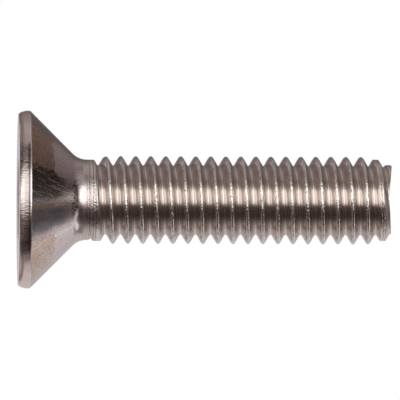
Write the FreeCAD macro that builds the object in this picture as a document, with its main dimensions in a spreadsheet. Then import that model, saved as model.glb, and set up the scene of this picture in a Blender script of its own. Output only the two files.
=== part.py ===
import FreeCAD, Part
import math
import os
import Sketcher

# Countersunk socket screw, metric 6 x 1, about 25 long, all in millimetres.
# It stands on the flat face of its head with its tip up: the axis is Z and the face is z = 0.
# The blank is turned about the axis, a six-sided socket is sunk into the face, and a right-hand
# thread runs from the bare neck out through the chamfered end.

sizes = [
    ("screw_length", "24.85", "over all, from the face of the head to the end"),
    ("head_diameter", "11.8", "widest place of the rim"),
    ("rim_height", "0.72", "from the face to the start of the cone"),
    ("rim_roll", "0.8", "radius of the rolled edge between face and rim"),
    ("rim_roll_height", "0.6", "from the face to the widest place of the rim"),
    ("cone_angle", "90", "whole angle of the countersink"),
    ("head_fillet", "1.2", "radius between cone and neck"),
    ("neck_length", "0.96", "from the sharp foot of the cone to where the crests start to rise"),
    ("neck_drop", "0.255", "from the crests down to the bare neck, as thick as the blank before rolling"),
    ("crest_rise", "1.15", "length in which the crests rise to full height"),
    ("crest_diameter", "5.81", "outside of the thread"),
    ("crest_width", "0.128", "flat along the top of each crest"),
    ("root_width", "0.208", "flat along the bottom of the groove"),
    ("flank_angle", "60", "whole angle of the groove"),
    ("pitch", "1.0", "from one turn of the thread to the next"),
    ("groove_start", "0.36", "from the end of the neck to the middle of the first full groove"),
    ("groove_turn", "180", "where that groove lies, in degrees about the axis from +X"),
    ("run_in_turns", "0.6", "turns in which the groove sinks to its full depth"),
    ("run_in_clearance", "0.05", "how far above the neck the groove has run out"),
    ("chamfer_length", "1.35", "from the last full crest to the end, lip included"),
    ("lip_rise", "0.05", "from the bottom of the groove up to the lip at the very end"),
    ("lip_length", "0.3", "straight stretch of the lip"),
    ("lip_width", "0.1", "flat top of the lip"),
    ("cup_depth", "0.35", "hollow that rolling leaves in the end"),
    ("socket_width", "4.0", "across the flats of the socket"),
    ("socket_depth", "2.5", "from the face to the foot of the flats"),
    ("socket_floor_width", "3.8", "across the cone in the floor of the socket"),
    ("socket_floor_angle", "120", "whole angle of that cone"),
    ("socket_mouth_width", "4.9", "across the lead-in at the mouth of the socket"),
    ("socket_mouth_angle", "120", "whole angle of the lead-in"),
]

doc = FreeCAD.newDocument("countersunk_screw")
sheet = doc.addObject("Spreadsheet::Sheet", "Sizes")
for row, (alias, value, note) in enumerate(sizes, 1):
    sheet.set("A%d" % row, alias)
    sheet.set("B%d" % row, value)
    sheet.setAlias("B%d" % row, alias)
    sheet.set("C%d" % row, note)
doc.recompute()

# Radii and heights that follow from the sizes and are used by more than one outline.
head_radius = "Sizes.head_diameter / 2"
crest_radius = "Sizes.crest_diameter / 2"
neck_radius = "(%s - Sizes.neck_drop)" % crest_radius
flank_slope = "tan(Sizes.flank_angle / 2 * 1deg)"
thread_depth = "((Sizes.pitch - Sizes.crest_width - Sizes.root_width) / 2 / %s)" % flank_slope
root_radius = "(%s - %s)" % (crest_radius, thread_depth)
half_cone = "(Sizes.cone_angle / 2 * 1deg)"
cone_foot = "(Sizes.rim_height + (%s - %s) / tan(%s))" % (head_radius, neck_radius, half_cone)
neck_end = "(%s + Sizes.neck_length)" % cone_foot
first_groove = "(%s + Sizes.groove_start)" % neck_end

body = doc.addObject("PartDesign::Body", "screw")
body.Label = "screw"


def newSketch(name, role):
    sketch = body.newObject("Sketcher::SketchObject", name)
    plane = next(feature for feature in body.Origin.OriginFeatures if feature.Role == role)
    sketch.AttachmentSupport = (plane, [""])
    sketch.MapMode = "FlatFace"
    return sketch


def bind(sketch, constraint, expression):
    number = sketch.addConstraint(constraint)
    sketch.setExpression("Constraints[%d]" % number, expression)


# An arc of the given radius from start to end, which swells to the right of that way or is hollow there.
def arcBetween(start, end, radius, swells):
    chord = end - start
    sideways = FreeCAD.Vector(chord.y, -chord.x, 0).normalize() * (1 if swells else -1)
    rise = radius - math.sqrt(radius ** 2 - (chord.Length / 2) ** 2)
    return Part.Arc(start, start + chord / 2 + sideways * rise, end)


# Draw a closed outline, anticlockwise, through corners given as pairs of expressions (radius, height),
# where None puts the corner on that axis. Edges named in swells or hollows are arcs of the radius given.
def drawOutline(sketch, corners, swells=None, hollows=None):
    swells = swells or {}
    hollows = hollows or {}
    radii = {**swells, **hollows}
    points = []
    for corner in corners:
        across, along = [0 if part is None else sketch.evalExpression(part) for part in corner]
        points.append(FreeCAD.Vector(across, along, 0))
    for number, start in enumerate(points):
        end = points[(number + 1) % len(points)]
        if number in radii:
            radius = sketch.evalExpression(radii[number])
            sketch.addGeometry(arcBetween(start, end, radius, number in swells), False)
            bind(sketch, Sketcher.Constraint("Radius", number, radius), radii[number])
        else:
            sketch.addGeometry(Part.LineSegment(start, end), False)
    # A sketch keeps its arcs anticlockwise, so a hollow one starts where the outline leaves it.
    first = [2 if number in hollows else 1 for number in range(len(points))]
    for number in range(len(points)):
        following = (number + 1) % len(points)
        joint = Sketcher.Constraint("Coincident", number, 3 - first[number], following, first[following])
        sketch.addConstraint(joint)
    for number, (across, along) in enumerate(corners):
        corner = (number, first[number])
        if across is None:
            sketch.addConstraint(Sketcher.Constraint("PointOnObject", *corner, -2))
        else:
            bind(sketch, Sketcher.Constraint("DistanceX", -1, 1, *corner, points[number].x), across)
        if along is None:
            sketch.addConstraint(Sketcher.Constraint("PointOnObject", *corner, -1))
        else:
            bind(sketch, Sketcher.Constraint("DistanceY", -1, 1, *corner, points[number].y), along)


def turn(kind, name, outline):
    feature = body.newObject(kind, name)
    feature.Profile = outline
    feature.ReferenceAxis = (outline, ["V_Axis"])
    feature.Angle = 360
    doc.recompute()


# Head, neck, threaded length and end, turned in one piece. The end is a thin lip around a shallow cup.
def turnBlank():
    outline = newSketch("blank_outline", "XZ_Plane")
    roll_start = "%s - Sizes.rim_roll + sqrt(Sizes.rim_roll ^ 2 - Sizes.rim_roll_height ^ 2)" % head_radius
    fillet_reach = "Sizes.head_fillet * tan(Sizes.cone_angle / 4 * 1deg)"
    lip_radius = "(%s + Sizes.lip_rise)" % root_radius
    corners = [
        (None, None),
        (roll_start, None),
        (head_radius, "Sizes.rim_roll_height"),
        (head_radius, "Sizes.rim_height"),
        (
            "%s + %s * sin(%s)" % (neck_radius, fillet_reach, half_cone),
            "%s - %s * cos(%s)" % (cone_foot, fillet_reach, half_cone),
        ),
        (neck_radius, "%s + %s" % (cone_foot, fillet_reach)),
        (neck_radius, neck_end),
        (crest_radius, "%s + Sizes.crest_rise" % neck_end),
        (crest_radius, "Sizes.screw_length - Sizes.chamfer_length"),
        (lip_radius, "Sizes.screw_length - Sizes.lip_length"),
        (lip_radius, "Sizes.screw_length"),
        ("%s - Sizes.lip_width" % lip_radius, "Sizes.screw_length"),
        (None, "Sizes.screw_length - Sizes.cup_depth"),
    ]
    drawOutline(outline, corners, swells={1: "Sizes.rim_roll"}, hollows={4: "Sizes.head_fillet"})
    turn("PartDesign::Revolution", "turned_blank", outline)


# Six flats sunk from the face, with two of the corners on the X axis.
def sinkSocket():
    outline = newSketch("socket_outline", "XY_Plane")
    corner_radius = "Sizes.socket_width / 2 / cos(30deg)"
    reach = outline.evalExpression(corner_radius)
    corners = []
    for number in range(6):
        angle = math.radians(60 * number)
        corners.append(FreeCAD.Vector(reach * math.cos(angle), reach * math.sin(angle), 0))
    for start, end in zip(corners, corners[1:] + corners[:1]):
        outline.addGeometry(Part.LineSegment(start, end), False)
    circle = outline.addGeometry(Part.Circle(FreeCAD.Vector(0, 0, 0), FreeCAD.Vector(0, 0, 1), reach), True)
    outline.addConstraint(Sketcher.Constraint("Coincident", circle, 3, -1, 1))
    bind(outline, Sketcher.Constraint("Radius", circle, reach), corner_radius)
    for number in range(6):
        outline.addConstraint(Sketcher.Constraint("Coincident", number, 2, (number + 1) % 6, 1))
        outline.addConstraint(Sketcher.Constraint("PointOnObject", number, 1, circle))
    for number in range(1, 6):
        outline.addConstraint(Sketcher.Constraint("Equal", 0, number))
    outline.addConstraint(Sketcher.Constraint("PointOnObject", 0, 1, -1))
    socket = body.newObject("PartDesign::Pocket", "socket")
    socket.Profile = outline
    socket.Reversed = True
    socket.setExpression("Length", "Sizes.socket_depth")
    doc.recompute()


# A cone about the axis, cut from its wide end at the given height up towards the tip of the screw.
def cutCone(name, width, angle, height):
    outline = newSketch(name + "_outline", "XZ_Plane")
    depth = "%s / 2 / tan(%s / 2 * 1deg)" % (width, angle)
    point = depth if height is None else "%s + %s" % (height, depth)
    drawOutline(outline, [(None, height), ("%s / 2" % width, height), (None, point)])
    turn("PartDesign::Groove", name, outline)


# The section of the groove: a flat bottom between two flanks, which reach the outside well clear of the crests.
# It lies in a plane through the axis, turned to where the first full groove is.
def drawGroove():
    section = newSketch("groove_section", "XZ_Plane")
    section.setExpression(".AttachmentOffset.Rotation.Axis.y", "1")
    section.setExpression(".AttachmentOffset.Rotation.Axis.z", "0")
    section.setExpression(".AttachmentOffset.Rotation.Angle", "Sizes.groove_turn")
    mouth_radius = "%s + Sizes.pitch / 4" % crest_radius
    mouth_half = "((Sizes.pitch - Sizes.crest_width) / 2 + Sizes.pitch / 4 * %s)" % flank_slope
    corners = [
        (root_radius, "%s - Sizes.root_width / 2" % first_groove),
        (mouth_radius, "%s - %s" % (first_groove, mouth_half)),
        (mouth_radius, "%s + %s" % (first_groove, mouth_half)),
        (root_radius, "%s + Sizes.root_width / 2" % first_groove),
    ]
    drawOutline(section, corners)
    return section


# The groove winds from its first full turn out past the end of the screw. The other way it winds outwards
# as it goes, so that it runs out into the neck.
def cutThread():
    section = drawGroove()
    thread = body.newObject("PartDesign::SubtractiveHelix", "thread")
    thread.Profile = section
    thread.ReferenceAxis = (section, ["V_Axis"])
    thread.Mode = "pitch-height-angle"
    thread.setExpression("Pitch", "Sizes.pitch")
    thread.setExpression("Height", "Sizes.screw_length + Sizes.pitch - %s" % first_groove)
    doc.recompute()
    run_in = body.newObject("PartDesign::SubtractiveHelix", "thread_run_in")
    run_in.Profile = section
    run_in.ReferenceAxis = (section, ["V_Axis"])
    run_in.Mode = "height-turns-growth"
    run_in.setExpression("Height", "Sizes.pitch * Sizes.run_in_turns")
    run_in.setExpression("Turns", "Sizes.run_in_turns")
    climb = "(%s - Sizes.neck_drop + Sizes.run_in_clearance)" % thread_depth
    run_in.setExpression("Growth", "%s / Sizes.run_in_turns" % climb)
    run_in.Reversed = True
    doc.recompute()


turnBlank()
sinkSocket()
cutCone("socket_floor", "Sizes.socket_floor_width", "Sizes.socket_floor_angle", "Sizes.socket_depth")
cutCone("socket_mouth", "Sizes.socket_mouth_width", "Sizes.socket_mouth_angle", None)
cutThread()

for item in doc.Objects:
    if "Invalid" in item.State or "Error" in item.State:
        raise RuntimeError("%s failed: %s" % (item.Name, item.State))
if body.Shape.isNull() or not body.Shape.isValid() or len(body.Shape.Solids) != 1:
    raise RuntimeError("the screw is not one sound solid")

os.makedirs("parts", exist_ok=True)
body.Shape.exportStep("parts/%s.step" % body.Label)
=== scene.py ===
import bpy
import math
from mathutils import Matrix, Vector


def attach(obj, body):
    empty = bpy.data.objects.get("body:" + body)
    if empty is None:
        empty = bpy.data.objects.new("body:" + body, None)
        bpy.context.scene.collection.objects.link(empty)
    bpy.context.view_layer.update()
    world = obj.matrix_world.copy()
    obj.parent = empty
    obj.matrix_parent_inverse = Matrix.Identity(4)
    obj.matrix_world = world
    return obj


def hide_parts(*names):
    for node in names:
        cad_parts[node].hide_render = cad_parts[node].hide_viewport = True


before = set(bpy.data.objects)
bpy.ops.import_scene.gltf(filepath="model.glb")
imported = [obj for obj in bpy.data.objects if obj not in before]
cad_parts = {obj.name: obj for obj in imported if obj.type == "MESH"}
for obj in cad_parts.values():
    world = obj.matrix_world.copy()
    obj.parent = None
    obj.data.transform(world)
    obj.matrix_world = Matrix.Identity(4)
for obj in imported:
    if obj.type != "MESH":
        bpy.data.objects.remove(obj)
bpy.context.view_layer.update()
millimetre = 0.001


# A value in a node tree, so that nodes can be written as plain sums.
class Field:
    def __init__(self, tree, socket):
        self.tree = tree
        self.socket = socket

    def __add__(self, other):
        return calc("ADD", self, other)

    def __radd__(self, other):
        return calc("ADD", other, self)

    def __sub__(self, other):
        return calc("SUBTRACT", self, other)

    def __rsub__(self, other):
        return calc("SUBTRACT", other, self)

    def __mul__(self, other):
        return calc("MULTIPLY", self, other)

    def __rmul__(self, other):
        return calc("MULTIPLY", other, self)

    def __truediv__(self, other):
        return calc("DIVIDE", self, other)


def feed(tree, socket, value):
    if isinstance(value, Field):
        tree.links.new(value.socket, socket)
    else:
        socket.default_value = value


def calc(kind, *values):
    tree = next(value.tree for value in values if isinstance(value, Field))
    node = tree.nodes.new("ShaderNodeMath")
    node.operation = kind
    for place, value in enumerate(values):
        feed(tree, node.inputs[place], value)
    return Field(tree, node.outputs[0])


def between(value, start, end, low=0.0, high=1.0, smooth=True):  # low before start, high after end
    tree = value.tree
    node = tree.nodes.new("ShaderNodeMapRange")
    node.interpolation_type = "SMOOTHSTEP" if smooth else "LINEAR"
    for place, part in enumerate((value, start, end, low, high)):
        feed(tree, node.inputs[place], part)
    return Field(tree, node.outputs[0])


def follow(value, points):  # a broken line through the points, level before the first and after the last
    total = points[0][1]
    for (start, low), (end, high) in zip(points, points[1:]):
        total = total + between(value, start, end, 0.0, high - low, smooth=False)
    return total


def split(tree, socket):
    node = tree.nodes.new("ShaderNodeSeparateXYZ")
    tree.links.new(socket, node.inputs[0])
    return [Field(tree, output) for output in node.outputs]


def atLeast(low, mask):  # the mask, squeezed so that it never falls below low
    return low + (1 - low) * mask


def vector(tree, *parts):
    node = tree.nodes.new("ShaderNodeCombineXYZ")
    for place, part in enumerate(parts):
        feed(tree, node.inputs[place], part)
    return Field(tree, node.outputs[0])


def noise(place, scale, detail=2.0, rough=0.5, distort=0.0):
    node = place.tree.nodes.new("ShaderNodeTexNoise")
    feed(place.tree, node.inputs["Vector"], place)
    inputs = {"Scale": scale, "Detail": detail, "Roughness": rough, "Distortion": distort}
    for name, value in inputs.items():
        feed(place.tree, node.inputs[name], value)
    return Field(place.tree, node.outputs[0])


def newGroup(name, kind, inputs, outputs):
    tree = bpy.data.node_groups.new(name, kind)
    for label, value in inputs:
        form = "NodeSocketInt" if isinstance(value, int) else "NodeSocketFloat"
        if isinstance(value, tuple):
            form = "NodeSocketColor"
        tree.interface.new_socket(label, in_out="INPUT", socket_type=form).default_value = value
    for label, form in outputs:
        tree.interface.new_socket(label, in_out="OUTPUT", socket_type=form)
    entry = tree.nodes.new("NodeGroupInput")
    leave = tree.nodes.new("NodeGroupOutput")
    return tree, {label: Field(tree, entry.outputs[label]) for label, _ in inputs}, leave


print("screw: shape")

# Millimetres and degrees. Angles about the axis start at +X and go towards +Y.
screwSizes = {
    "Columns": 180,
    "Rows Per Turn": 20,
    "Length": 24.85,
    "Head Radius": 5.9,
    "Rim Height": 0.775,
    "Rim Roll": 0.7,
    "Roll Height": 0.5,
    "Rim Corner": 0.12,
    "Half Cone": 45.0,
    "Head Fillet": 1.35,
    "Neck Radius": 2.67,
    "Neck Length": 0.02,  # plain part between the fillet and the rows of the thread
    "Pitch": 1.0,
    "First Crest": 5.29,  # height of a crest at +X
    "Flank Angle": 60.0,
    "Crest Rounding": 0.24,
    "Start Rounding": 0.06,  # of the crest where it rises from the neck
    "End Rounding": 0.35,  # share of the crest's rounding that is left at the end
    "Root Rounding": 0.105,
    "Row Crowding": 0.6,  # how closely the rows crowd at crest and root
    "Ripple Depth": 0.006,  # where the rolling dies first touch the neck
    "Ripple Length": 0.37,
    "Ripple Start": 4.09,
    "Lap Depth": 0.017,  # uneven seam that rolling leaves along the crest
    "Lap Length": 0.45,
    "Lap Radius": 2.9,  # where its length is measured
    "Lap Seed": 4.0,
    "Lap Wander": 0.10,
    "Lap Bends": 0.7,  # how often it wanders, and how often it breaks off
    "Lap Breaks": 0.9,
    "Lap Mouth": 0.05,  # from its middle to either side, at the top and at its floor
    "Lap Floor": 0.01,
    "Last Lap": 2.2,  # how many times as deep it is on the last crest
    "Lip Width": 0.1,
    "Lip Height": 0.04,
    "Cup Depth": 0.45,
    "Cup Curve": 0.5,
    "Notch Depth": 0.34,  # the end dips where the last groove runs out
    "Notch Fade": 6.0,  # how fast the dip fades towards the middle of the cup
    "Nick Depth": 0.08,  # and is nicked at the lowest point
    "Nick Reach": 6.0,
    "Notch Middle": 264.0,
    "Reach Before": 76.0,
    "Reach After": 100.0,
    "Socket Width": 4.0,
    "Socket Depth": 2.5,
    "Socket Floor Radius": 1.9,
    "Mouth Radius": 2.45,
    "Mouth Angle": 60.0,
    "Sharp Edge": 28.0,  # edges that turn further than this stay sharp
}

# Radius of the crest at the height of its middle, from the neck to the end.
crestTops = [
    (4.60, 2.670), (5.05, 2.675), (5.29, 2.735), (5.79, 2.875), (6.29, 2.925),
    (22.90, 2.925), (23.30, 2.900), (23.79, 2.750), (24.29, 2.690), (24.54, 2.580), (24.79, 2.380),
]

# Radius of the groove at the height of its middle.
grooveFloors = [
    (4.30, 3.400), (4.56, 2.760), (4.81, 2.570), (5.31, 2.30), (24.06, 2.30), (24.31, 2.24), (24.81, 2.22),
]

# Heights between which the thread changes along the screw: not yet at the first, fully at the second.
threadChanges = {
    "crest start": (5.0, 6.3),
    "crest end": (23.4, 23.9),
    "ripple start": (4.5, 4.7),
    "ripple end": (5.5, 5.2),
    "lap start": (6.2, 7.2),
    "last lap": (23.0, 23.6),
}

# Rows of faces in each band of the outline. The thread has its own.
bandRows = {
    "socketPoint": 3, "socketLedge": 1, "socketWall": 6, "socketMouth": 3, "face": 8, "roll": 10,
    "rim": 1, "rimCorner": 5, "cone": 16, "fillet": 16, "neck": 1, "lip": 6, "cup": 8,
}


def buildScrewTree(materials):
    inputs = list(screwSizes.items())
    outputs = [("Geometry", "NodeSocketGeometry")]
    tree, size, leave = newGroup("countersunkScrew", "GeometryNodeTree", inputs, outputs)
    place = split(tree, tree.nodes.new("GeometryNodeInputPosition").outputs[0])
    turn = calc("ROUND", (place[0] + 0.5) * size["Columns"]) / size["Columns"]  # 0 to 1 round the axis
    angle = turn * (2 * math.pi)
    half = calc("RADIANS", size["Half Cone"])
    bands = []
    finishes = list(materials)

    def addBand(name, rows, finish, outline):
        grid = tree.nodes.new("GeometryNodeMeshGrid")
        grid.label = name
        grid.inputs["Size X"].default_value = 1
        grid.inputs["Size Y"].default_value = 1
        feed(tree, grid.inputs["Vertices X"], size["Columns"] + 1)
        feed(tree, grid.inputs["Vertices Y"], rows + 1)
        step = calc("ROUND", (place[1] + 0.5) * rows)
        radius, height = outline(step, step / rows)
        spot = vector(
            tree,
            radius * calc("COSINE", angle) * millimetre,
            radius * calc("SINE", angle) * millimetre,
            height * millimetre,
        )
        move = tree.nodes.new("GeometryNodeSetPosition")
        tree.links.new(grid.outputs["Mesh"], move.inputs["Geometry"])
        feed(tree, move.inputs["Position"], spot)
        note = tree.nodes.new("GeometryNodeStoreNamedAttribute")
        note.data_type = "INT"
        note.domain = "FACE"
        note.inputs["Name"].default_value = "finish"
        note.inputs["Value"].default_value = finishes.index(finish)
        tree.links.new(move.outputs[0], note.inputs["Geometry"])
        bands.append(note.outputs[0])

    # Socket: six flats with corners on the X axis, a drilled floor and a countersunk mouth.
    sector = calc("MODULO", angle, math.pi / 3) - math.pi / 6
    flats = size["Socket Width"] / 2 / calc("COSINE", sector)
    mouthSlope = calc("TANGENT", calc("RADIANS", size["Mouth Angle"]))
    floorRadius = size["Socket Floor Radius"]
    depth = size["Socket Depth"]

    def socketPoint(step, part):
        radius = floorRadius * part
        return radius, depth + (floorRadius - radius) / mouthSlope

    def socketLedge(step, part):
        return floorRadius + (flats - floorRadius) * part, depth

    def socketWall(step, part):
        mouth = (size["Mouth Radius"] - flats) / mouthSlope
        return flats, depth + (mouth - depth) * part

    def socketMouth(step, part):
        radius = flats + (size["Mouth Radius"] - flats) * part
        return radius, (size["Mouth Radius"] - radius) / mouthSlope

    # Head: flat face, rolled rim, cone and fillet.
    headRadius = size["Head Radius"]
    rollMiddle = headRadius - size["Rim Roll"]
    rollStart = calc("ARCSINE", size["Roll Height"] / size["Rim Roll"])
    cornerReach = size["Rim Corner"] * calc("TANGENT", half / 2)
    filletReach = size["Head Fillet"] * calc("TANGENT", half / 2)
    coneFoot = size["Rim Height"] + (headRadius - size["Neck Radius"]) / calc("TANGENT", half)

    def face(step, part):
        edge = rollMiddle + size["Rim Roll"] * calc("COSINE", rollStart)
        return size["Mouth Radius"] + (edge - size["Mouth Radius"]) * part, 0.0

    def roll(step, part):
        tilt = rollStart * (part - 1)
        return (
            rollMiddle + size["Rim Roll"] * calc("COSINE", tilt),
            size["Roll Height"] + size["Rim Roll"] * calc("SINE", tilt),
        )

    def rim(step, part):
        straight = size["Rim Height"] - cornerReach - size["Roll Height"]
        return headRadius, size["Roll Height"] + straight * part

    def rimCorner(step, part):
        tilt = half * part
        return (
            headRadius - size["Rim Corner"] * (1 - calc("COSINE", tilt)),
            size["Rim Height"] - cornerReach + size["Rim Corner"] * calc("SINE", tilt),
        )

    def cone(step, part):
        startRadius = headRadius - cornerReach * calc("SINE", half)
        startHeight = size["Rim Height"] + cornerReach * calc("COSINE", half)
        lastRadius = size["Neck Radius"] + filletReach * calc("SINE", half)
        lastHeight = coneFoot - filletReach * calc("COSINE", half)
        return (
            startRadius + (lastRadius - startRadius) * part,
            startHeight + (lastHeight - startHeight) * part,
        )

    def fillet(step, part):
        tilt = half * (1 - part)
        return (
            size["Neck Radius"] + size["Head Fillet"] * (1 - calc("COSINE", tilt)),
            coneFoot + filletReach - size["Head Fillet"] * calc("SINE", tilt),
        )

    # Thread: the rows wind with it and crowd together at crest and root.
    threadFoot = coneFoot + filletReach + size["Neck Length"]
    halfFlank = calc("RADIANS", size["Flank Angle"] / 2)
    lean = calc("WRAP", turn * 360 - size["Notch Middle"], 180.0, -180.0)
    dip = calc("MAXIMUM", 1 - calc("ABSOLUTE", lean) / size["Nick Reach"], 0.0) * size["Nick Depth"]
    lean = calc("ABSOLUTE", lean) / between(lean, -1.0, 1.0, size["Reach Before"], size["Reach After"])
    dip = dip + size["Notch Depth"] * calc("MAXIMUM", 1 - lean, 0.0)
    evenEdge = size["Length"] - size["Lip Height"]
    edgeHeight = evenEdge - dip
    firstTurn = calc("FLOOR", (threadFoot - size["First Crest"]) / size["Pitch"]) - 1
    lastTurn = calc("CEIL", (size["Length"] - size["First Crest"]) / size["Pitch"])
    threadRows = (lastTurn - firstTurn) * size["Rows Per Turn"]

    def change(height, name, low=0.0, high=1.0):
        return between(height, *threadChanges[name], low, high)

    def threadRadius(height):
        along = (height - size["First Crest"]) / size["Pitch"] - turn
        offCrest = (along - calc("ROUND", along)) * size["Pitch"]
        offGroove = (along - calc("FLOOR", along) - 0.5) * size["Pitch"]
        top = follow(height - offCrest, crestTops)
        floor = follow(height - offGroove, grooveFloors)
        # A round root between two straight flanks.
        root = size["Root Rounding"]
        away = calc("ABSOLUTE", offGroove)
        bowl = root * 2 - calc("SQRT", calc("MAXIMUM", root * root - away * away, 0.0))
        onFlank = calc("GREATER_THAN", away, root * calc("COSINE", halfFlank))
        groove = floor - root + bowl + (away / calc("TANGENT", halfFlank) - bowl) * onFlank
        rounding = change(height - offCrest, "crest start", size["Start Rounding"], size["Crest Rounding"])
        rounding = rounding * change(height - offCrest, "crest end", 1.0, size["End Rounding"])
        smooth = calc("SMOOTH_MIN", top, groove, rounding)
        ripple = (height - size["Ripple Start"] - turn) * (2 * math.pi) / size["Ripple Length"]
        wave = (calc("COSINE", ripple) - 1) * change(height, "ripple start") * change(height, "ripple end")
        # The seam wanders, and it comes and goes along the crest.
        around = (height - offCrest) * 2 * math.pi * size["Lap Radius"]
        travel = vector(tree, around / size["Lap Length"], 0.0, size["Lap Seed"])
        wander = (noise(travel, size["Lap Bends"]) - 0.5) * size["Lap Wander"]
        strength = between(noise(travel, size["Lap Breaks"], detail=1.5, rough=0.6), 0.35, 0.65)
        strength = calc("MAXIMUM", strength, change(height, "last lap", 0.0, size["Last Lap"]))
        lap = between(calc("ABSOLUTE", offCrest - wander), size["Lap Mouth"], size["Lap Floor"])
        lap = lap * change(height, "lap start") * strength
        return smooth + wave * size["Ripple Depth"] / 2 - lap * size["Lap Depth"]

    def neck(step, part):
        height = coneFoot + filletReach + size["Neck Length"] * part
        return size["Neck Radius"] + (threadRadius(threadFoot) - size["Neck Radius"]) * part, height

    def thread(step, part):
        even = step / size["Rows Per Turn"]
        crowded = even - size["Row Crowding"] * calc("SINE", even * (4 * math.pi)) / (4 * math.pi)
        height = size["First Crest"] + size["Pitch"] * (firstTurn + crowded + turn)
        height = calc("MAXIMUM", calc("MINIMUM", height, edgeHeight), threadFoot)
        return threadRadius(height), height

    # End: a thin lip round a shallow cup.
    endRadius = threadRadius(edgeHeight)

    def lip(step, part):
        swing = part * math.pi
        return (
            endRadius - size["Lip Width"] / 2 * (1 - calc("COSINE", swing)),
            edgeHeight + size["Lip Height"] * calc("SINE", swing),
        )

    def cup(step, part):
        floor = size["Length"] - size["Cup Depth"]
        inner = endRadius - size["Lip Width"]
        bowl = evenEdge + (floor - evenEdge) * calc("POWER", part, size["Cup Curve"])
        return inner * (1 - part), bowl - dip * calc("POWER", 1 - part, size["Notch Fade"])

    for outline in (socketPoint, socketLedge, socketWall, socketMouth):
        addBand(outline.__name__, bandRows[outline.__name__], "socket", outline)
    for outline in (face, roll, rim, rimCorner, cone, fillet):
        addBand(outline.__name__, bandRows[outline.__name__], "head", outline)
    addBand("neck", bandRows["neck"], "thread", neck)
    addBand("thread", threadRows, "thread", thread)
    addBand("lip", bandRows["lip"], "end", lip)
    addBand("cup", bandRows["cup"], "end", cup)

    join = tree.nodes.new("GeometryNodeJoinGeometry")
    for band in reversed(bands):
        tree.links.new(band, join.inputs[0])
    merge = tree.nodes.new("GeometryNodeMergeByDistance")
    tree.links.new(join.outputs[0], merge.inputs["Geometry"])
    merge.inputs["Distance"].default_value = millimetre / 1000
    crease = tree.nodes.new("GeometryNodeInputMeshEdgeAngle")
    limit = calc("RADIANS", size["Sharp Edge"])
    sharp = calc("GREATER_THAN", Field(tree, crease.outputs["Unsigned Angle"]), limit)
    soften = tree.nodes.new("GeometryNodeSetShadeSmooth")
    soften.domain = "EDGE"
    tree.links.new(merge.outputs[0], soften.inputs["Geometry"])
    feed(tree, soften.inputs["Selection"], sharp)
    soften.inputs["Shade Smooth"].default_value = False
    real = tree.nodes.new("GeometryNodeRealizeInstances")
    tree.links.new(soften.outputs[0], real.inputs[0])
    finish = tree.nodes.new("GeometryNodeInputNamedAttribute")
    finish.data_type = "INT"
    finish.inputs["Name"].default_value = "finish"
    finishNumber = Field(tree, finish.outputs["Attribute"])
    last = real.outputs[0]
    for number, name in enumerate(finishes):
        paint = tree.nodes.new("GeometryNodeSetMaterial")
        paint.inputs["Material"].default_value = materials[name]
        feed(tree, paint.inputs["Selection"], calc("COMPARE", finishNumber, number, 0.1))
        tree.links.new(last, paint.inputs["Geometry"])
        last = paint.outputs[0]
    tree.links.new(last, leave.inputs[0])
    return tree


def buildScrew(materials):
    holder = bpy.data.objects.new("screwRaw", bpy.data.meshes.new("screwRaw"))
    bpy.context.scene.collection.objects.link(holder)
    modifier = holder.modifiers.new("turnedAndRolled", "NODES")
    modifier.node_group = buildScrewTree(materials)
    for item in modifier.node_group.interface.items_tree:
        if item.in_out == "INPUT":
            modifier[item.identifier] = screwSizes[item.name]
    built = holder.evaluated_get(bpy.context.evaluated_depsgraph_get())
    solid = bpy.data.meshes.new_from_object(built)
    bpy.data.objects.remove(holder)
    solid.name = "countersunkScrew"
    solid.calc_loop_triangles()
    print("screw:", len(solid.loop_triangles), "triangles")
    screw = bpy.data.objects.new("countersunkScrew", solid)
    bpy.context.scene.collection.objects.link(screw)
    return screw


print("screw: steel")

# Colours, roughness and the depth of the relief in millimetres.
steelLook = {
    "head": (0.73, 0.635, 0.63, 1),
    "thread": (0.648, 0.590, 0.560, 1),
    "crest": (0.74, 0.68, 0.65, 1),
    "neck": (1.0, 0.935, 0.93, 1),
    "flank": (0.98, 0.955, 0.93, 1),
    "rim": (1.0, 0.97, 0.92, 1),
    "end": (0.56, 0.50, 0.48, 1),
    "socket": (0.50, 0.445, 0.425, 1),
    "burnt": (0.66, 0.50, 0.34, 1),  # brown heat colour beside the rim
    # Dark tint for real seams and pocks, and for painted shade and dark reflections on the head.
    "soot and shade": (0.22, 0.235, 0.19, 1),
    "olive": (0.80, 0.76, 0.50, 1),
    "limbShade": (0.62, 0.74, 0.70, 1),
    "straw": (0.98, 0.85, 0.70, 1),
    "slate": (0.46, 0.53, 0.58, 1),
    "dull": (0.45, 0.44, 0.44, 1),
    "headRoughness": 0.13,
    "threadRoughness": 0.17,
    "rootRoughness": 0.12,
    "endRoughness": 0.26,
    "socketRoughness": 0.26,
    "headRelief": 0.006,
    "threadRelief": 0.008,
    "endRelief": 0.008,
    "socketRelief": 0.008,
}


def mixColour(mask, first, second, kind="MIX"):
    tree = next(value.tree for value in (mask, first, second) if isinstance(value, Field))
    node = tree.nodes.new("ShaderNodeMix")
    node.data_type = "RGBA"
    node.blend_type = kind
    for place, value in ((0, mask), (6, first), (7, second)):
        feed(tree, node.inputs[place], value)
    return Field(tree, node.outputs[2])


def stain(colour, *stains):  # each stain is where it lies and what it takes from the colour
    for mask, tint in stains:
        colour = mixColour(mask, colour, steelLook[tint], "MULTIPLY")
    return colour


def useGroup(tree, group, **values):
    node = tree.nodes.new("ShaderNodeGroup")
    node.node_tree = group
    for name, value in values.items():
        feed(tree, node.inputs[name], value)
    return {output.name: Field(tree, output) for output in node.outputs}


def objectPlace(tree):  # in millimetres
    coordinates = tree.nodes.new("ShaderNodeTexCoord")
    return [part / millimetre for part in split(tree, coordinates.outputs["Object"])]


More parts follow.
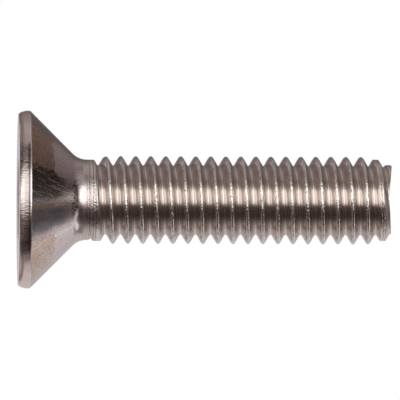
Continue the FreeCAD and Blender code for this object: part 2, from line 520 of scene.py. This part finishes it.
# Where a point lies on the screw, in millimetres, and how far up the screw it is from the nearest crest.
# Bearing is in degrees: 0 at +X, the bottom of the picture, and -90 towards the camera.
def makePlaceGroup():
    inputs = [("Pitch", screwSizes["Pitch"]), ("Crest", screwSizes["First Crest"])]
    names = ("RoundX", "RoundY", "Bearing", "Radius", "Height", "OffCrest")
    outputs = [(name, "NodeSocketFloat") for name in names]
    tree, given, leave = newGroup("placeOnScrew", "ShaderNodeTree", inputs, outputs)
    x, y, z = objectPlace(tree)
    radius = calc("MAXIMUM", calc("SQRT", x * x + y * y), 0.01)  # never nothing on the axis
    turn = calc("ARCTAN2", y, x) / (2 * math.pi)
    along = (z - given["Crest"]) / given["Pitch"] - turn
    offCrest = (along - calc("ROUND", along)) * given["Pitch"]
    for plug, result in zip(leave.inputs, (x / radius, y / radius, turn * 360, radius, z, offCrest)):
        tree.links.new(result.socket, plug)
    return tree


# Long fine lines. AroundScale sets how close they lie round the axis, and AlongScale how close up the screw.
def makeLinesGroup():
    inputs = [
        ("RoundX", 0.0), ("RoundY", 0.0), ("Along", 0.0), ("AroundScale", 1.0), ("AlongScale", 1.0),
        ("Low", 0.3), ("High", 0.7), ("Detail", 3.0),
    ]
    tree, given, leave = newGroup("drawnLines", "ShaderNodeTree", inputs, [("Lines", "NodeSocketFloat")])
    spot = vector(
        tree,
        given["RoundX"] * given["AroundScale"],
        given["RoundY"] * given["AroundScale"],
        given["Along"] * given["AlongScale"],
    )
    lines = between(noise(spot, 1.0, given["Detail"], 0.6), given["Low"], given["High"])
    tree.links.new(lines.socket, leave.inputs[0])
    return tree


# Small uneven marks all over, such as grit, pits and smears. Size is in millimetres.
def makeMarksGroup():
    inputs = [("Size", 0.1), ("Low", 0.35), ("High", 0.65), ("Wander", 0.0), ("Detail", 3.0)]
    tree, given, leave = newGroup("smallMarks", "ShaderNodeTree", inputs, [("Marks", "NodeSocketFloat")])
    spot = vector(tree, *[part / given["Size"] for part in objectPlace(tree)])
    spread = noise(spot, 1.0, given["Detail"], 0.6, given["Wander"])
    marks = between(spread, given["Low"], given["High"])
    tree.links.new(marks.socket, leave.inputs[0])
    return tree


placeGroup = makePlaceGroup()
linesGroup = makeLinesGroup()
marksGroup = makeMarksGroup()


def newMaterial(name):
    material = bpy.data.materials.new(name)
    material.use_nodes = True
    tree = material.node_tree
    return material, tree, tree.nodes["Principled BSDF"]


def finishSteel(tree, steel, colour, roughness, relief, reach):  # reach is the depth of the relief
    steel.inputs["Metallic"].default_value = 1
    feed(tree, steel.inputs["Base Color"], colour)
    feed(tree, steel.inputs["Roughness"], roughness)
    bump = tree.nodes.new("ShaderNodeBump")
    bump.inputs["Strength"].default_value = 1
    bump.inputs["Distance"].default_value = reach * millimetre
    feed(tree, bump.inputs["Height"], relief)
    tree.links.new(bump.outputs[0], steel.inputs["Normal"])


def lines(tree, place, along, aroundScale, alongScale, low=0.3, high=0.7, detail=3.0):
    drawn = useGroup(
        tree, linesGroup, RoundX=place["RoundX"], RoundY=place["RoundY"], Along=along,
        AroundScale=aroundScale, AlongScale=alongScale, Low=low, High=high, Detail=detail,
    )
    return drawn["Lines"]


def marks(tree, size, low=0.35, high=0.65, wander=0.0, detail=3.0):
    spread = useGroup(tree, marksGroup, Size=size, Low=low, High=high, Wander=wander, Detail=detail)
    return spread["Marks"]


# Where the marks on the head lie: nothing at the first number of a pair, all of it at the second.
# Heights and radii are in millimetres, and the other places in degrees up the picture from the nearest line.
headMarks = {
    "rim height": (0.74, 0.68),
    "cone height": (0.74, 0.84),
    "face height": (0.03, 0.01),
    "neck height": (4.34, 4.50),
    "neck radius": (2.75, 2.69),
    "heat radius": (4.36, 4.46),
    "brown": (16.0, 26.0),
    "brown pales": (60.0, 72.0),
    "back pales": (172.0, 120.0),  # so that no seam shows down the back
    "olive starts": (-8.0, -5.0),
    "olive ends": (-1.0, -5.0),
    "straw starts": (-75.0, -55.0),
    "straw ends": (-26.0, -33.0),
    "straw patches": (0.0, 0.9),
    "blue starts": (-27.0, -21.0),
    "blue ends": (-5.0, -8.0),
    "blue radius": (3.0, 4.0),
    "limbShade": (56.0, 74.0),
    "dark reflection radius": (2.8, 4.3, 0.10, 1.0),
    "dark reflection lower edge": (2.9, 4.4, 8.0, 0.0),  # two radii, and how far up the edge is at each
    "dark reflection upper edge": (2.9, 4.4, 15.0, 24.0),
    "scratch radius": (2.95, 3.3),
    "pits outer radius": (3.30, 3.10),
    "pits inner radius": (2.76, 2.86),
    "pits": (0.34, 0.20),
    "pits middle": 4.0,
    "pits reach": (30.0, 18.0),
    "ribs middle": -1.0,
    "ribs reach": (42.0, 34.0),
    "ribs shaded": (-24.0, -30.0),
    "grit shade starts": (17.0, 21.0),
    "grit shade ends": (42.0, 35.0),
    "gaps": (0.25, 0.05),
    "gaps middle": 2.0,
    "gaps reach": (8.0, 16.0),
    "fold height": 0.625,
    "fold reach": (0.095, 0.030),
    "scratch lean": 0.028,  # turns the scratches off the straight line up the cone
}

# How strongly the marks show in the colour and the roughness.
headStrengths = {
    "brown pales": 0.6,
    "olive": 0.8,
    "fleck": 0.36,
    "speckle": 0.44,
    "streak": 0.22,
    "rim speckle": 0.3,
    "pits": 0.9,
    "neck": 0.9,
    "rim shade": 0.85,
    "fold": 0.8,
    "gaps": 0.6,
    "rough heat": 0.06,
    "rough grain": 0.04,
    "rough neck": 0.10,
}

# How deep they are, as a share of the relief.
headDepths = {
    "turned": 0.10,
    "grain": 0.08,
    "scratch": 1.8,
    "streak": 0.15,
    "fleck": 0.12,
    "ribs": 0.9,
    "grit": 0.45,
}


def makeHeadSteel():
    material, tree, steel = newMaterial("forgedHeadSteel")
    place = useGroup(tree, placeGroup)
    radius, height = place["Radius"], place["Height"]
    slant = height * 1.41  # length up the cone
    up = calc("WRAP", (0 - place["Bearing"]) - 90, 180.0, -180.0)
    strong, deep = headStrengths, headDepths

    def where(value, name):
        return between(value, *headMarks[name])

    def offMiddle(value, name):
        return calc("ABSOLUTE", value - headMarks[name])

    cloud = marks(tree, 0.9, low=0.3, high=0.7, wander=0.4)
    patch = marks(tree, 0.28, low=0.3, high=0.7, wander=0.6)
    fleck = marks(tree, 0.13, low=0.34, high=0.62, wander=0.5, detail=2.0)
    speckle = marks(tree, 0.075, low=0.3, high=0.7, wander=0.3, detail=1.0)
    # Flecks that leave the painted dark reflection lighter: painted glints.
    paintedGlint = marks(tree, 0.10, low=0.50, high=0.72, wander=0.3, detail=1.0)
    pit = marks(tree, 0.15, low=0.28, high=0.72, detail=1.0)
    grit = marks(tree, 0.20, low=0.25, high=0.75, wander=0.8, detail=1.0)
    swirl = dict(place, RoundX=place["RoundX"] - slant * headMarks["scratch lean"])
    grain = lines(tree, place, slant, aroundScale=5.0, alongScale=10.0)
    streak = lines(tree, place, slant, aroundScale=22.0, alongScale=0.6, detail=2.0)
    scratch = lines(tree, swirl, slant, aroundScale=42.0, alongScale=0.40, low=0.60, high=0.66, detail=1.0)
    ribs = lines(tree, place, height, aroundScale=60.0, alongScale=2.4, detail=1.5)
    turned = lines(tree, place, radius, aroundScale=0.8, alongScale=8.0, low=0.25, high=0.75, detail=2.0)
    onCone, onRim, onFace = [where(height, name + " height") for name in ("cone", "rim", "face")]

    # Heat colours on the outer part of the cone, with a firm border.
    heated = onCone * where(radius + (patch - 0.5) * 0.18 + (cloud - 0.5) * 0.24, "heat radius")
    brown = heated * where(up + (cloud - 0.5) * 10, "brown") * where(up, "back pales")
    brown = brown * (1 - strong["brown pales"] * where(up, "brown pales")) * atLeast(0.65, patch)
    olive = heated * where(up, "olive starts") * where(up, "olive ends")
    straw = heated * where(up, "straw starts") * where(up, "straw ends")
    straw = straw * where(cloud + (radius - 5.0) * 0.5, "straw patches")
    # Painted dark reflection: a darker blue-grey band over the inner cone, just below the line nearest the
    # camera.
    blue = onCone * where(up + (cloud - 0.5) * 3, "blue starts") * where(up, "blue ends")
    blue = blue * where(radius, "blue radius")
    # Painted shade: a darker, greener tint over the upper side of the cone, fading round the back.
    limbShade = onCone * where(up, "limbShade") * where(up, "back pales")
    # Painted dark reflection, standing for a dark flag seen in the cone, widening towards the rim.
    lower = where(radius, "dark reflection lower edge")
    upper = where(radius, "dark reflection upper edge") + (patch - 0.5) * 7
    darkReflection = onCone * where(radius, "dark reflection radius") * between(up, lower - 3, lower + 4)
    darkReflection = darkReflection * between(up, upper + 3, upper - 3)
    # Mottling all over, pits in the fillet where the head meets the neck, painted dark only beside the
    # fillet's highlight as painted shade, and a dull neck.
    mottle = strong["fleck"] * fleck * atLeast(0.5, heated) + strong["speckle"] * speckle * (1 - 0.7 * blue)
    mottle = onCone * (mottle + strong["streak"] * streak * atLeast(0.4, darkReflection))
    mottle = mottle + onRim * strong["rim speckle"] * speckle
    pits = where(radius, "pits outer radius") * where(radius, "pits inner radius") * where(pit, "pits")
    pits = pits * where(offMiddle(up, "pits middle"), "pits reach")
    # Ribs and grit that the die left on the rim, with painted shade, stronger on one side: the rim is
    # darkened below and above its highlight, and the hollows between ribs and a fold line are painted dark.
    ribbed = onRim * where(offMiddle(up + (cloud - 0.5) * 6, "ribs middle"), "ribs reach")
    shade = ribbed * where(up, "ribs shaded") * atLeast(0.4, ribs)
    shade = shade + onRim * where(up, "grit shade starts") * where(up, "grit shade ends") * (0.25 + 0.6 * grit)
    gap = ribbed * where(ribs, "gaps") * where(offMiddle(up, "gaps middle"), "gaps reach")
    fold = ribbed * where(offMiddle(height, "fold height"), "fold reach")

    colour = stain(
        steelLook["head"],
        (brown, "burnt"),
        # painted dark reflection, left lighter at flecks and scratches as painted glints
        (darkReflection * (1 - 0.45 * paintedGlint - 0.55 * scratch), "soot and shade"),
        (limbShade, "limbShade"),
        (blue * atLeast(0.75, streak), "slate"),
        (strong["olive"] * olive, "olive"),
        (straw, "straw"),
        (mottle, "dull"),
        (strong["pits"] * pits, "soot and shade"),
        (strong["neck"] * where(height, "neck height"), "neck"),
        (onRim, "rim"),
        (strong["rim shade"] * shade, "soot and shade"),
        (calc("MAXIMUM", strong["fold"] * fold, strong["gaps"] * gap), "soot and shade"),
    )
    roughness = steelLook["headRoughness"] + strong["rough heat"] * heated + strong["rough grain"] * grain
    roughness = roughness + strong["rough neck"] * where(radius, "neck radius")
    scored = deep["scratch"] * scratch * atLeast(0.1, darkReflection) * where(radius, "scratch radius")
    relief = deep["turned"] * turned * onFace + deep["grain"] * grain * (1 - onFace)
    relief = relief + onCone * (scored + deep["streak"] * streak * (1 - blue) + deep["fleck"] * fleck)
    relief = relief + ribbed * (deep["ribs"] * ribs + deep["grit"] * grit)
    finishSteel(tree, steel, colour, roughness, relief, steelLook["headRelief"])
    return material


# Where the marks on the thread lie, in millimetres from the middle of a crest or above the head's face.
threadMarks = {
    "crest": (0.14, 0.08),
    "root": (0.36, 0.46),
    "seam": (0.025, 0.005),
    "pocks": (0.25, 0.05),
    "neck height": (5.20, 4.95),  # dull where the rolling starts
    "clean height": (23.8, 24.1),
    "ring heights": (4.67, 4.93, 5.10),  # dark lines round the neck
    "ring": (0.06, 0.02),
}

# How strongly they show, and how deep they are as a share of the relief.
threadStrengths = {
    "seam": 0.7,
    "pocks": 0.6,
    "smooth crest": 0.02,
    "rough neck": 0.08,
    "crest patches": 0.6,
    "neck patches": 0.5,
    "neck grit": 0.8,
    "drawn lines": 0.04,
}


def makeThreadSteel():
    material, tree, steel = newMaterial("rolledThreadSteel")
    place = useGroup(tree, placeGroup)
    height, offCrest = place["Height"], place["OffCrest"]
    strong = threadStrengths

    def where(value, name):
        return between(value, *threadMarks[name])

    patch = marks(tree, 0.35, low=0.2, high=0.8)
    grit = marks(tree, 0.16, low=0.25, high=0.75, wander=0.5, detail=1.0)
    drawn = lines(tree, place, offCrest, aroundScale=1.2, alongScale=12.0, low=0.25, high=0.75, detail=1.0)
    crest = where(calc("ABSOLUTE", offCrest), "crest")
    root = where(calc("ABSOLUTE", offCrest), "root")
    seam = where(calc("ABSOLUTE", offCrest + (patch - 0.5) * 0.07), "seam")
    neck = where(height + (patch - 0.5) * 0.2, "neck height")
    flank = (1 - crest) * (1 - root)
    colour = stain(
        mixColour(crest, steelLook["thread"], steelLook["crest"]),
        (strong["seam"] * crest * seam * patch, "soot and shade"),
        (strong["pocks"] * crest * where(grit, "pocks"), "soot and shade"),
        (calc("MAXIMUM", flank * (1 - neck), where(height, "clean height")), "flank"),
        (neck * atLeast(0.7, drawn), "neck"),
    )
    for ring in threadMarks["ring heights"]:
        line = where(calc("ABSOLUTE", height - ring + (patch - 0.5) * 0.02), "ring")
        colour = stain(colour, (line * (0.30 + 0.35 * grit), "soot and shade"))
    smoother = steelLook["threadRoughness"] - steelLook["rootRoughness"]
    roughness = steelLook["threadRoughness"] - smoother * root - strong["smooth crest"] * crest
    roughness = roughness + strong["rough neck"] * neck
    relief = strong["drawn lines"] * drawn * flank + crest * (grit + strong["crest patches"] * patch)
    relief = relief + neck * (strong["neck grit"] * grit + strong["neck patches"] * patch)
    finishSteel(tree, steel, colour, roughness, relief, steelLook["threadRelief"])
    return material


def makeEndSteel():
    material, tree, steel = newMaterial("pressedEndSteel")
    place = useGroup(tree, placeGroup)
    cloud = marks(tree, 0.5, low=0.3, high=0.7, wander=0.5)
    grit = marks(tree, 0.15, low=0.3, high=0.7)
    rings = lines(tree, place, place["Radius"], aroundScale=1.0, alongScale=9.0)
    colour = stain(steelLook["end"], (cloud * 0.5, "burnt"))
    roughness = steelLook["endRoughness"] + 0.1 * cloud
    finishSteel(tree, steel, colour, roughness, grit * 0.5 + rings * 0.15, steelLook["endRelief"])
    return material


def makeSocketSteel():
    material, tree, steel = newMaterial("punchedSocketSteel")
    place = useGroup(tree, placeGroup)
    cloud = marks(tree, 0.6, low=0.3, high=0.7, wander=0.5)
    strokes = lines(tree, place, place["Height"], aroundScale=30.0, alongScale=0.5)  # left by the punch
    colour = stain(steelLook["socket"], (cloud * 0.5, "burnt"))
    roughness = steelLook["socketRoughness"] + 0.1 * strokes
    finishSteel(tree, steel, colour, roughness, strokes * 0.3, steelLook["socketRelief"])
    return material


screw = buildScrew({
    "head": makeHeadSteel(),
    "thread": makeThreadSteel(),
    "end": makeEndSteel(),
    "socket": makeSocketSteel(),
})
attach(screw, "root")
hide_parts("screw")

print("studio: floor, tent, lamp and camera")

# Metres and degrees. Bearings start at the camera and go up the picture.
studio = {
    "centre": Vector((0, 0, 0.012087)),
    "floorReach": 4.0,
    "floorHole": 0.0055,  # under the head, so that its face is lit in views from below
    "floorDrop": 0.000003,
    "floorSides": 96,
    "floorColour": (0.86, 0.85, 0.84, 1),
    "floorRoughness": 0.9,
    "skyColour": (0.72, 0.72, 0.73, 1),
    "tentRadius": 1.6,
    "tentColumns": 64,
    "tentRows": 32,
    "tentTint": (1.0, 1.10, 1.11),  # powers of red, green and blue, which warm the dark fields
    "aheadBearing": 15.0,
    "behindColour": (0.95, 0.90, 0.98, 1),  # low down behind the screw, seen in the flat of the head
    "windowColour": (1.30, 1.25, 1.25, 1),  # a small second light, seen in the fillet
    "windowWay": (0.65, 0.14, 0.747),
    "windowStrength": 0.9,
    "lampDistance": 0.5,
    "lampBearing": 14.0,
    "lampRise": 27.0,
    "lampWidth": 0.47,
    "lampHeight": 0.40,
    "lampWatts": 0.48,
    "cameraDistance": 0.36,
    "cameraHeight": -0.0074,
    "cameraSpan": 0.026606,  # seen from edge to edge of the picture
    "cameraRoll": 0.21,
    "cameraAside": -0.000013,  # how far the axis lies below the middle of the picture
    "sensorWidth": 36,
}

# Where the fields of the tent lie: nothing at the first number, all of it at the second.
# Heights go from -1 straight below the screw to 1 overhead, and bearings are counted both ways.
tentFields = {
    "strip top": (0.16, 0.10),
    "roof": (0.5, 0.8),
    "raised bottom": (0.25, 0.35),
    "raised top": (0.86, 0.80),
    "raised bearing": (125.0, 112.0),
    "ahead bottom": (0.06, 0.14),
    "ahead top": (0.40, 0.30),
    "ahead bearing": (52.0, 42.0),
    "below near": (0.0, -0.03),
    "below near bearing": (100.0, 80.0),
    "below all round": (-0.25, -0.40),
    "under": (-0.42, -0.60),
    "behind top": (-0.004, -0.012),
    "behind bottom": (-0.07, -0.05),
    "behind bearing": (160.0, 174.0),
    "window": (0.976, 0.993),
}

# Brightness of the tent at bearings from the camera, level with the screw.
tentRing = [
    (-180, 0.38), (-168, 0.62), (-143, 0.72), (-116, 0.72), (-97, 0.66), (-81, 0.36), (-67, 0.13),
    (-56, 0.06), (-44, 0.05), (-32, 0.09), (-22, 0.16), (-12, 0.28), (-3, 0.42), (30, 0.42),
    (42, 0.34), (52, 0.20), (67, 0.19), (77, 0.42), (90, 0.49), (104, 0.52), (120, 0.41),
    (145, 0.28), (160, 0.18), (168, 0.20), (180, 0.38),
]

# Brightness overhead, across the tent from the bottom of the picture to the top.
tentRoof = [
    (-0.64, 0.16), (-0.56, 0.22), (-0.51, 0.66), (-0.45, 1.08), (-0.40, 0.64), (-0.34, 0.31), (-0.27, 0.17),
    (-0.18, 0.15), (-0.07, 0.22), (0.02, 0.30), (0.10, 0.26), (0.20, 0.14), (0.33, 0.13), (0.40, 0.20),
    (0.50, 0.26),
]

# Brightness by bearing well above and below the level of the screw, seen by the flanks of the thread.
tentSteep = [
    (-180, 0.26), (-120, 0.30), (-100, 0.31), (-84, 0.30), (-70, 0.13), (-58, 0.08), (-45, 0.08),
    (-30, 0.10), (-20, 0.15), (-12, 0.70), (-4, 1.15), (10, 1.30), (28, 1.30), (38, 1.10), (44, 0.75),
    (52, 0.47), (65, 0.43), (80, 0.45), (100, 0.33), (140, 0.22), (165, 0.23), (180, 0.26),
]

# The same almost straight below.
tentUnder = [
    (-180, 0.70), (-150, 0.60), (-115, 0.46), (-104, 0.34), (-96, 0.20), (-84, 0.14), (-58, 0.11),
    (-45, 0.15), (-20, 0.34), (-12, 0.90), (-4, 1.50), (10, 1.75), (28, 1.75), (38, 1.45), (44, 1.00),
    (52, 0.48), (65, 0.22), (85, 0.20), (100, 0.26), (125, 0.30), (150, 0.60), (180, 0.70),
]

# Second, weaker strip of light below the lamp.
tentStrip = [(-20, 0.0), (-9, 0.30), (0, 0.70), (12, 0.88), (26, 0.85), (36, 0.55), (46, 0.0)]


def ramp(value, points, low=-180.0, high=180.0):  # a colour ramp over values from low to high
    node = value.tree.nodes.new("ShaderNodeValToRGB")
    steps = node.color_ramp.elements
    while len(steps) < len(points):
        steps.new(0.5)
    for step, (spot, grey) in zip(steps, points):
        step.position = (spot - low) / (high - low)
        step.color = [grey ** power for power in studio["tentTint"]] + [1]
    feed(value.tree, node.inputs[0], (value - low) / (high - low))
    return Field(value.tree, node.outputs[0])


def addStage(name, mesh):
    thing = bpy.data.objects.new(name, mesh)
    bpy.context.scene.collection.objects.link(thing)
    return thing


def addFloor():
    sides = studio["floorSides"]
    spots = []
    for radius in (studio["floorHole"], studio["floorReach"]):
        for number in range(sides):
            way = 2 * math.pi * number / sides
            spots.append((radius * math.cos(way), radius * math.sin(way), -studio["floorDrop"]))
    faces = []
    for number in range(sides):
        after = (number + 1) % sides
        faces.append((number, sides + number, sides + after, after))
    mesh = bpy.data.meshes.new("paleFloor")
    mesh.from_pydata(spots, [], faces)
    material, tree, paper = newMaterial("palePaper")
    paper.inputs["Base Color"].default_value = studio["floorColour"]
    paper.inputs["Roughness"].default_value = studio["floorRoughness"]
    under = tree.nodes.new("ShaderNodeNewGeometry")
    clear = tree.nodes.new("ShaderNodeBsdfTransparent")
    choose = tree.nodes.new("ShaderNodeMixShader")
    tree.links.new(under.outputs["Backfacing"], choose.inputs[0])
    tree.links.new(paper.outputs[0], choose.inputs[1])
    tree.links.new(clear.outputs[0], choose.inputs[2])
    tree.links.new(choose.outputs[0], tree.nodes["Material Output"].inputs["Surface"])
    mesh.materials.append(material)
    floor = addStage("paleFloor", mesh)
    floor.visible_glossy = False  # the steel shows the tent all round


def addTent():
    columns, rows = studio["tentColumns"], studio["tentRows"]
    radius, middle = studio["tentRadius"], studio["centre"]
    spots = [middle + Vector((0, 0, radius)), middle - Vector((0, 0, radius))]
    for row in range(1, rows):
        tilt = math.pi * row / rows
        for number in range(columns):
            way = 2 * math.pi * number / columns
            across = Vector((math.cos(way) * math.sin(tilt), math.sin(way) * math.sin(tilt), math.cos(tilt)))
            spots.append(middle + across * radius)
    faces = []
    for number in range(columns):
        after = (number + 1) % columns
        lowest = 2 + (rows - 2) * columns
        faces.append((0, 2 + after, 2 + number))
        faces.append((1, lowest + number, lowest + after))
        for row in range(rows - 2):
            top, below = 2 + row * columns, 2 + (row + 1) * columns
            faces.append((top + number, top + after, below + after, below + number))
    mesh = bpy.data.meshes.new("softTent")
    mesh.from_pydata(spots, [], faces)
    material = bpy.data.materials.new("tentCloth")
    material.use_nodes = True
    tree = material.node_tree
    tree.nodes.remove(tree.nodes["Principled BSDF"])
    x, y, z = split(tree, tree.nodes.new("ShaderNodeTexCoord").outputs["Object"])
    z = z - middle.z
    far = calc("SQRT", x * x + y * y + z * z)
    rise = z / far
    bearing = calc("ARCTAN2", 0 - x, 0 - y) * (180 / math.pi)
    turned = calc("ABSOLUTE", bearing)

    def where(value, name):
        return between(value, *tentFields[name])

    raised = where(rise, "raised bottom") * where(rise, "raised top") * where(turned, "raised bearing")
    ahead = where(calc("ABSOLUTE", bearing - studio["aheadBearing"]), "ahead bearing")
    ahead = ahead * where(rise, "ahead bottom") * where(rise, "ahead top")
    below = where(turned, "below near bearing") * where(rise, "below near")
    below = calc("MAXIMUM", below, where(rise, "below all round"))
    steep = calc("MAXIMUM", calc("MAXIMUM", raised, ahead), below)
    behind = where(turned, "behind bearing") * where(rise, "behind top") * where(rise, "behind bottom")
    window = sum(part * share for part, share in zip((x, y, z), studio["windowWay"])) / far
    ring, roof = ramp(bearing, tentRing), ramp((0 - x) / far, tentRoof, tentRoof[0][0], tentRoof[-1][0])
    cloth = mixColour(where(rise, "strip top"), ring, mixColour(1, ring, ramp(bearing, tentStrip), "ADD"))
    cloth = mixColour(where(rise, "roof"), cloth, roof)
    cloth = mixColour(steep, cloth, ramp(bearing, tentSteep))
    cloth = mixColour(where(rise, "under"), cloth, ramp(bearing, tentUnder))
    cloth = mixColour(behind, cloth, studio["behindColour"])
    cloth = mixColour(where(window, "window") * studio["windowStrength"], cloth, studio["windowColour"])
    glow = tree.nodes.new("ShaderNodeEmission")
    feed(tree, glow.inputs["Color"], cloth)
    tree.links.new(glow.outputs[0], tree.nodes["Material Output"].inputs["Surface"])
    mesh.materials.append(material)
    tent = addStage("softTent", mesh)  # seen only by reflected rays
    tent.visible_camera = False
    tent.visible_diffuse = False
    tent.visible_shadow = False
    tent.visible_transmission = False


def addLamp():
    light = bpy.data.lights.new("softbox", "AREA")
    light.shape = "ELLIPSE"
    light.size = studio["lampWidth"]
    light.size_y = studio["lampHeight"]
    light.energy = studio["lampWatts"]
    lamp = bpy.data.objects.new("softbox", light)
    bpy.context.scene.collection.objects.link(lamp)
    bearing, rise = math.radians(studio["lampBearing"]), math.radians(studio["lampRise"])
    way = Vector((-math.sin(bearing) * math.cos(rise), -math.cos(bearing) * math.cos(rise), math.sin(rise)))
    lamp.location = studio["centre"] + way * studio["lampDistance"]
    lamp.rotation_euler = (-way).to_track_quat("-Z", "Y").to_euler()


def addSky():
    world = bpy.data.worlds.new("paleSky")
    bpy.context.scene.world = world
    world.cycles_visibility.glossy = False  # steel shows the tent instead
    world.use_nodes = True
    tree = world.node_tree
    path = tree.nodes.new("ShaderNodeLightPath")
    seen = Field(tree, path.outputs["Is Camera Ray"])
    seen = calc("MAXIMUM", seen, Field(tree, path.outputs["Is Glossy Ray"]))
    seen = calc("MAXIMUM", seen, Field(tree, path.outputs["Is Transmission Ray"]))
    feed(tree, tree.nodes["Background"].inputs["Color"], mixColour(seen, studio["skyColour"], (1, 1, 1, 1)))


def addCamera():
    data = bpy.data.cameras.new("camera")
    camera = bpy.data.objects.new("camera", data)
    bpy.context.scene.collection.objects.link(camera)
    aside = Vector((studio["cameraAside"], 0, 0))
    spot = Vector((0, -studio["cameraDistance"], studio["cameraHeight"])) + aside
    ahead = (studio["centre"] + aside - spot).normalized()
    right = (Vector((0, 0, 1)) - ahead * ahead.z).normalized()
    up = right.cross(ahead)
    roll = Matrix.Rotation(math.radians(studio["cameraRoll"]), 3, "Z")
    turned = Matrix((right, up, -ahead)).transposed() @ roll
    camera.matrix_world = Matrix.Translation(spot) @ turned.to_4x4()
    data.sensor_width = studio["sensorWidth"]
    data.lens = studio["sensorWidth"] * (studio["centre"] + aside - spot).length / studio["cameraSpan"]
    data.clip_start = 0.01
    data.clip_end = 20
    bpy.context.scene.camera = camera


addFloor()
addTent()
addLamp()
addSky()
addCamera()
bpy.context.scene.view_settings.view_transform = "Standard"
